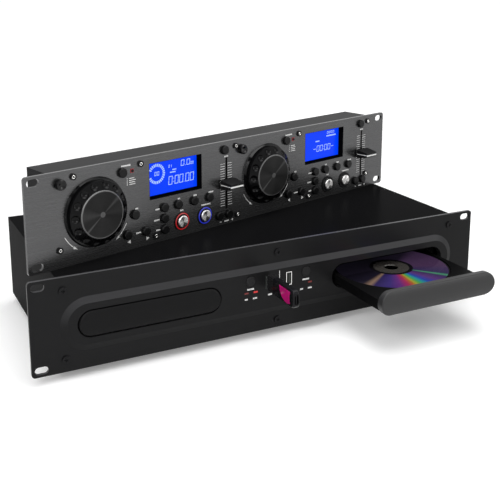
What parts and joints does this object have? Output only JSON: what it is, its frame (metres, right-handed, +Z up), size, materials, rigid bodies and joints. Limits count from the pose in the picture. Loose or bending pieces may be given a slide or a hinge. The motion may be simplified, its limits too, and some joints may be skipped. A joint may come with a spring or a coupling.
{
  "type": "dual disc player for DJ use",
  "caption": "Rack-size disc player with two tray loaders and USB ports, with its control unit of jog wheels, displays, buttons and pitch faders standing on it.",
  "frame": {"origin": "centre of the footprint's bounding box, on the surface that the drive unit's feet stand on", "axes": "+X to the right seen from the front, +Y to the back, +Z up; the drive unit's panel faces -Y and the control unit on top is turned 16 degrees to the left"},
  "size_m": [0.4826, 0.3044, 0.1832],
  "materials": {
    "drive_panel_paint": "satin black",
    "chassis_paint": "satin dark grey",
    "cover_paint": "fine textured black",
    "control_panel_metal": "brushed, anodised dark grey",
    "foot_rubber": "matte black",
    "screw_steel": "zinc plated",
    "loader_plastic": "dark grey",
    "electronics_board": "green solder mask",
    "socket_plastic": "black",
    "tray_plastic": "satin dark grey",
    "door_plastic": "satin black",
    "disc_polycarbonate": "silver with a violet diffraction sheen",
    "stick_plastic": "black",
    "button_rubber": "matte dark grey",
    "button_metal": "satin silver",
    "ring_plastic": "black, part light guide",
    "bezel_plastic": "black",
    "wheel_plastic": "satin black with a bright turned face",
    "display_glass": "lit blue display",
    "knob_plastic": "satin black",
    "cap_plastic": "dark grey"
  },
  "bodies": {
    "drive_unit": {"drive_front_panel": "drive_panel_paint", "drive_chassis": "chassis_paint", "drive_cover": "cover_paint", "drive_feet": "foot_rubber", "drive_screws": "screw_steel", "loader_mechanisms": "loader_plastic", "drive_electronics": "electronics_board", "rear_sockets": "socket_plastic"},
    "tray_left": {"tray_left": "tray_plastic", "tray_door_left": "door_plastic"},
    "tray_right": {"tray_right": "tray_plastic", "tray_door_right": "door_plastic"},
    "disc": {"disc": "disc_polycarbonate"},
    "usb_stick": {"usb_stick": "stick_plastic"},
    "eject_left": {"eject_left": "button_rubber"},
    "eject_right": {"eject_right": "button_rubber"},
    "power_rocker": {"power_rocker": "socket_plastic"},
    "control_unit": {"control_front_panel": "control_panel_metal", "control_housing": "cover_paint", "control_screws": "screw_steel", "jog_bezels": "bezel_plastic", "display_panels": "display_glass", "button_rings": "ring_plastic", "control_board": "electronics_board"},
    "button_option_a": {"button_option_a": "button_rubber"},
    "button_search_a": {"button_search_a": "button_rubber"},
    "button_back_a": {"button_back_a": "button_rubber"},
    "button_forward_a": {"button_forward_a": "button_rubber"},
    "button_side_top_a": {"button_side_top_a": "button_rubber"},
    "button_side_middle_a": {"button_side_middle_a": "button_rubber"},
    "button_side_bottom_a": {"button_side_bottom_a": "button_rubber"},
    "button_row_left_a": {"button_row_left_a": "button_rubber"},
    "button_row_middle_a": {"button_row_middle_a": "button_rubber"},
    "button_row_right_a": {"button_row_right_a": "button_rubber"},
    "button_pitch_on_a": {"button_pitch_on_a": "button_rubber"},
    "button_pitch_minus_a": {"button_pitch_minus_a": "button_rubber"},
    "button_pitch_plus_a": {"button_pitch_plus_a": "button_rubber"},
    "button_cue_a": {"button_cue_a": "button_metal"},
    "button_play_a": {"button_play_a": "button_metal"},
    "jog_wheel_a": {"jog_wheel_a": "wheel_plastic"},
    "track_knob_a": {"track_knob_a": "knob_plastic"},
    "fader_cap_a": {"fader_cap_a": "cap_plastic"},
    "button_option_b": {"button_option_b": "button_rubber"},
    "button_search_b": {"button_search_b": "button_rubber"},
    "button_back_b": {"button_back_b": "button_rubber"},
    "button_forward_b": {"button_forward_b": "button_rubber"},
    "button_side_top_b": {"button_side_top_b": "button_rubber"},
    "button_side_middle_b": {"button_side_middle_b": "button_rubber"},
    "button_side_bottom_b": {"button_side_bottom_b": "button_rubber"},
    "button_row_left_b": {"button_row_left_b": "button_rubber"},
    "button_row_middle_b": {"button_row_middle_b": "button_rubber"},
    "button_row_right_b": {"button_row_right_b": "button_rubber"},
    "button_pitch_on_b": {"button_pitch_on_b": "button_rubber"},
    "button_pitch_minus_b": {"button_pitch_minus_b": "button_rubber"},
    "button_pitch_plus_b": {"button_pitch_plus_b": "button_rubber"},
    "button_cue_b": {"button_cue_b": "button_metal"},
    "button_play_b": {"button_play_b": "button_metal"},
    "jog_wheel_b": {"jog_wheel_b": "wheel_plastic"},
    "track_knob_b": {"track_knob_b": "knob_plastic"},
    "fader_cap_b": {"fader_cap_b": "cap_plastic"}
  },
  "joints": [
    {"name": "tray_left_slide", "type": "slide", "parent": "drive_unit", "child": "tray_left", "axis": [0, -1, 0], "range_m": [0, 0.083]},
    {"name": "tray_right_slide", "type": "slide", "parent": "drive_unit", "child": "tray_right", "axis": [0, -1, 0], "range_m": [-0.083, 0]},
    {"name": "disc_lift", "type": "slide", "parent": "tray_right", "child": "disc", "axis": [0, 0, 1], "range_m": [0, 0.008]},
    {"name": "usb_stick_pull", "type": "slide", "parent": "drive_unit", "child": "usb_stick", "axis": [0, -1, 0], "range_m": [0, 0.016]},
    {"name": "eject_left_press", "type": "slide", "parent": "drive_unit", "child": "eject_left", "axis": [0, 1, 0], "range_m": [0, 0.0012], "stiffness_N_per_m": 300},
    {"name": "eject_right_press", "type": "slide", "parent": "drive_unit", "child": "eject_right", "axis": [0, 1, 0], "range_m": [0, 0.0012], "stiffness_N_per_m": 300},
    {"name": "power_rocker_tilt", "type": "hinge", "parent": "drive_unit", "child": "power_rocker", "pos_m": [-0.108, 0.144, 0.0565], "axis": [1, 0, 0], "range_deg": [0, 10]},
    {"name": "control_unit_lift", "type": "slide", "parent": "drive_unit", "child": "control_unit", "axis": [0, 0, 1], "range_m": [0, 0.15]},
    {"name": "button_option_a_press", "type": "slide", "parent": "control_unit", "child": "button_option_a", "axis": [-0.2756, 0.9613, 0], "range_m": [0, 0.0012], "stiffness_N_per_m": 300},
    {"name": "button_search_a_press", "type": "slide", "parent": "control_unit", "child": "button_search_a", "axis": [-0.2756, 0.9613, 0], "range_m": [0, 0.0012], "stiffness_N_per_m": 300},
    {"name": "button_back_a_press", "type": "slide", "parent": "control_unit", "child": "button_back_a", "axis": [-0.2756, 0.9613, 0], "range_m": [0, 0.0012], "stiffness_N_per_m": 300},
    {"name": "button_forward_a_press", "type": "slide", "parent": "control_unit", "child": "button_forward_a", "axis": [-0.2756, 0.9613, 0], "range_m": [0, 0.0012], "stiffness_N_per_m": 300},
    {"name": "button_side_top_a_press", "type": "slide", "parent": "control_unit", "child": "button_side_top_a", "axis": [-0.2756, 0.9613, 0], "range_m": [0, 0.0012], "stiffness_N_per_m": 300},
    {"name": "button_side_middle_a_press", "type": "slide", "parent": "control_unit", "child": "button_side_middle_a", "axis": [-0.2756, 0.9613, 0], "range_m": [0, 0.0012], "stiffness_N_per_m": 300},
    {"name": "button_side_bottom_a_press", "type": "slide", "parent": "control_unit", "child": "button_side_bottom_a", "axis": [-0.2756, 0.9613, 0], "range_m": [0, 0.0012], "stiffness_N_per_m": 300},
    {"name": "button_row_left_a_press", "type": "slide", "parent": "control_unit", "child": "button_row_left_a", "axis": [-0.2756, 0.9613, 0], "range_m": [0, 0.0012], "stiffness_N_per_m": 300},
    {"name": "button_row_middle_a_press", "type": "slide", "parent": "control_unit", "child": "button_row_middle_a", "axis": [-0.2756, 0.9613, 0], "range_m": [0, 0.0012], "stiffness_N_per_m": 300},
    {"name": "button_row_right_a_press", "type": "slide", "parent": "control_unit", "child": "button_row_right_a", "axis": [-0.2756, 0.9613, 0], "range_m": [0, 0.0012], "stiffness_N_per_m": 300},
    {"name": "button_pitch_on_a_press", "type": "slide", "parent": "control_unit", "child": "button_pitch_on_a", "axis": [-0.2756, 0.9613, 0], "range_m": [0, 0.0012], "stiffness_N_per_m": 300},
    {"name": "button_pitch_minus_a_press", "type": "slide", "parent": "control_unit", "child": "button_pitch_minus_a", "axis": [-0.2756, 0.9613, 0], "range_m": [0, 0.0012], "stiffness_N_per_m": 300},
    {"name": "button_pitch_plus_a_press", "type": "slide", "parent": "control_unit", "child": "button_pitch_plus_a", "axis": [-0.2756, 0.9613, 0], "range_m": [0, 0.0012], "stiffness_N_per_m": 300},
    {"name": "button_cue_a_press", "type": "slide", "parent": "control_unit", "child": "button_cue_a", "axis": [-0.2756, 0.9613, 0], "range_m": [0, 0.0012], "stiffness_N_per_m": 300},
    {"name": "button_play_a_press", "type": "slide", "parent": "control_unit", "child": "button_play_a", "axis": [-0.2756, 0.9613, 0], "range_m": [0, 0.0012], "stiffness_N_per_m": 300},
    {"name": "jog_wheel_a_turn", "type": "hinge", "parent": "control_unit", "child": "jog_wheel_a", "pos_m": [-0.16771, -0.02877, 0.1396], "axis": [0.2756, -0.9613, 0], "continuous": true},
    {"name": "track_knob_a_turn", "type": "hinge", "parent": "control_unit", "child": "track_knob_a", "pos_m": [-0.20231, -0.03869, 0.1719], "axis": [0.2756, -0.9613, 0], "continuous": true},
    {"name": "fader_cap_a_slide", "type": "slide", "parent": "control_unit", "child": "fader_cap_a", "axis": [0, 0, 1], "range_m": [-0.022, 0.022]},
    {"name": "button_option_b_press", "type": "slide", "parent": "control_unit", "child": "button_option_b", "axis": [-0.2756, 0.9613, 0], "range_m": [0, 0.0012], "stiffness_N_per_m": 300},
    {"name": "button_search_b_press", "type": "slide", "parent": "control_unit", "child": "button_search_b", "axis": [-0.2756, 0.9613, 0], "range_m": [0, 0.0012], "stiffness_N_per_m": 300},
    {"name": "button_back_b_press", "type": "slide", "parent": "control_unit", "child": "button_back_b", "axis": [-0.2756, 0.9613, 0], "range_m": [0, 0.0012], "stiffness_N_per_m": 300},
    {"name": "button_forward_b_press", "type": "slide", "parent": "control_unit", "child": "button_forward_b", "axis": [-0.2756, 0.9613, 0], "range_m": [0, 0.0012], "stiffness_N_per_m": 300},
    {"name": "button_side_top_b_press", "type": "slide", "parent": "control_unit", "child": "button_side_top_b", "axis": [-0.2756, 0.9613, 0], "range_m": [0, 0.0012], "stiffness_N_per_m": 300},
    {"name": "button_side_middle_b_press", "type": "slide", "parent": "control_unit", "child": "button_side_middle_b", "axis": [-0.2756, 0.9613, 0], "range_m": [0, 0.0012], "stiffness_N_per_m": 300},
    {"name": "button_side_bottom_b_press", "type": "slide", "parent": "control_unit", "child": "button_side_bottom_b", "axis": [-0.2756, 0.9613, 0], "range_m": [0, 0.0012], "stiffness_N_per_m": 300},
    {"name": "button_row_left_b_press", "type": "slide", "parent": "control_unit", "child": "button_row_left_b", "axis": [-0.2756, 0.9613, 0], "range_m": [0, 0.0012], "stiffness_N_per_m": 300},
    {"name": "button_row_middle_b_press", "type": "slide", "parent": "control_unit", "child": "button_row_middle_b", "axis": [-0.2756, 0.9613, 0], "range_m": [0, 0.0012], "stiffness_N_per_m": 300},
    {"name": "button_row_right_b_press", "type": "slide", "parent": "control_unit", "child": "button_row_right_b", "axis": [-0.2756, 0.9613, 0], "range_m": [0, 0.0012], "stiffness_N_per_m": 300},
    {"name": "button_pitch_on_b_press", "type": "slide", "parent": "control_unit", "child": "button_pitch_on_b", "axis": [-0.2756, 0.9613, 0], "range_m": [0, 0.0012], "stiffness_N_per_m": 300},
    {"name": "button_pitch_minus_b_press", "type": "slide", "parent": "control_unit", "child": "button_pitch_minus_b", "axis": [-0.2756, 0.9613, 0], "range_m": [0, 0.0012], "stiffness_N_per_m": 300},
    {"name": "button_pitch_plus_b_press", "type": "slide", "parent": "control_unit", "child": "button_pitch_plus_b", "axis": [-0.2756, 0.9613, 0], "range_m": [0, 0.0012], "stiffness_N_per_m": 300},
    {"name": "button_cue_b_press", "type": "slide", "parent": "control_unit", "child": "button_cue_b", "axis": [-0.2756, 0.9613, 0], "range_m": [0, 0.0012], "stiffness_N_per_m": 300},
    {"name": "button_play_b_press", "type": "slide", "parent": "control_unit", "child": "button_play_b", "axis": [-0.2756, 0.9613, 0], "range_m": [0, 0.0012], "stiffness_N_per_m": 300},
    {"name": "jog_wheel_b_turn", "type": "hinge", "parent": "control_unit", "child": "jog_wheel_b", "pos_m": [0.03877, 0.03044, 0.1396], "axis": [0.2756, -0.9613, 0], "continuous": true},
    {"name": "track_knob_b_turn", "type": "hinge", "parent": "control_unit", "child": "track_knob_b", "pos_m": [0.00417, 0.02052, 0.1719], "axis": [0.2756, -0.9613, 0], "continuous": true},
    {"name": "fader_cap_b_slide", "type": "slide", "parent": "control_unit", "child": "fader_cap_b", "axis": [0, 0, 1], "range_m": [-0.022, 0.022]}
  ]
}
